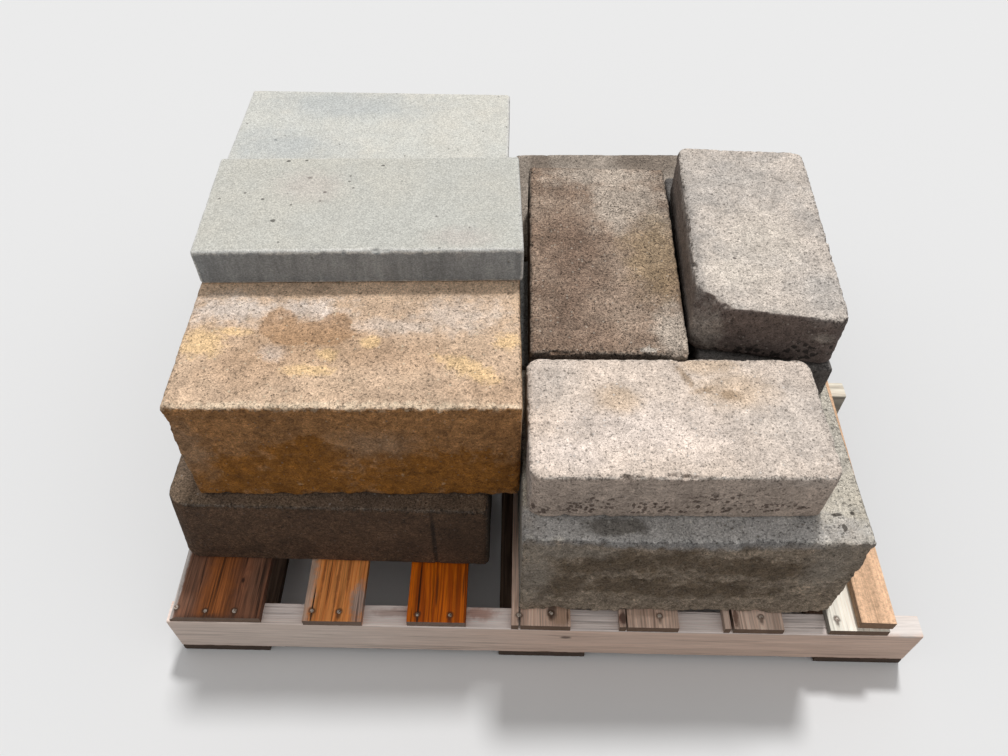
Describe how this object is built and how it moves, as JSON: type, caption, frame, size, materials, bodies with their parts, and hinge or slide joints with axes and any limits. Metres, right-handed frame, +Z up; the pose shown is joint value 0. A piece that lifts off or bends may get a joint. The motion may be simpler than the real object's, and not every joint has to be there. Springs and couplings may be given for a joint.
{
  "type": "pallet of concrete blocks",
  "caption": "Wooden two-way pallet with stringers and spaced deck boards, loaded with mixed concrete wall blocks and slabs in two stacked columns.",
  "frame": {"origin": "middle of the pallet's footprint, on the floor, at the underside of the centre bottom board", "axes": "+Z up; X along the stringers, which is the way the forks go in; +Y from the front stringer, the one nearest in the picture, to the rear one"},
  "size_m": [1.14, 0.963, 0.538],
  "materials": {
    "stringer_lumber": "sawn softwood, weathered grey-pink",
    "wet_board_lumber": "sawn softwood, wet and orange-brown",
    "dry_board_lumber": "sawn softwood, dry and pale",
    "rough_batten_lumber": "rough-sawn softwood, orange-tan",
    "charcoal_concrete": "cast concrete, dark, worn",
    "tan_concrete": "split concrete, tan with ochre patches",
    "light_grey_concrete": "cast concrete slab, light grey, fine-grained",
    "brown_concrete": "cast concrete, dark brown, coarse-grained",
    "beige_concrete": "tumbled concrete, beige",
    "grey_concrete": "split face concrete, blue-grey"
  },
  "bodies": {
    "root": {"bottom_board_centre": "wet_board_lumber", "bottom_board_left": "wet_board_lumber", "bottom_board_right": "wet_board_lumber", "brown_base_block": "brown_concrete", "charcoal_block": "charcoal_concrete", "dark_brown_block": "brown_concrete", "dark_slab": "charcoal_concrete", "deck_board_1": "wet_board_lumber", "deck_board_2": "wet_board_lumber", "deck_board_3": "wet_board_lumber", "deck_board_4": "dry_board_lumber", "deck_board_5": "dry_board_lumber", "deck_board_6": "dry_board_lumber", "deck_board_7": "dry_board_lumber", "grey_slab_rear": "light_grey_concrete", "grey_slab_upper": "light_grey_concrete", "left_middle_lower_block": "charcoal_concrete", "left_middle_upper_block": "tan_concrete", "left_rear_base_block": "grey_concrete", "left_rear_half_block": "beige_concrete", "loose_board": "rough_batten_lumber", "right_middle_block": "grey_concrete", "split_face_block": "grey_concrete", "stringer_front": "stringer_lumber", "stringer_middle": "stringer_lumber", "stringer_rear": "stringer_lumber", "tan_block": "tan_concrete", "tumbled_block_front": "beige_concrete", "tumbled_block_rear": "beige_concrete"}
  },
  "joints": []
}
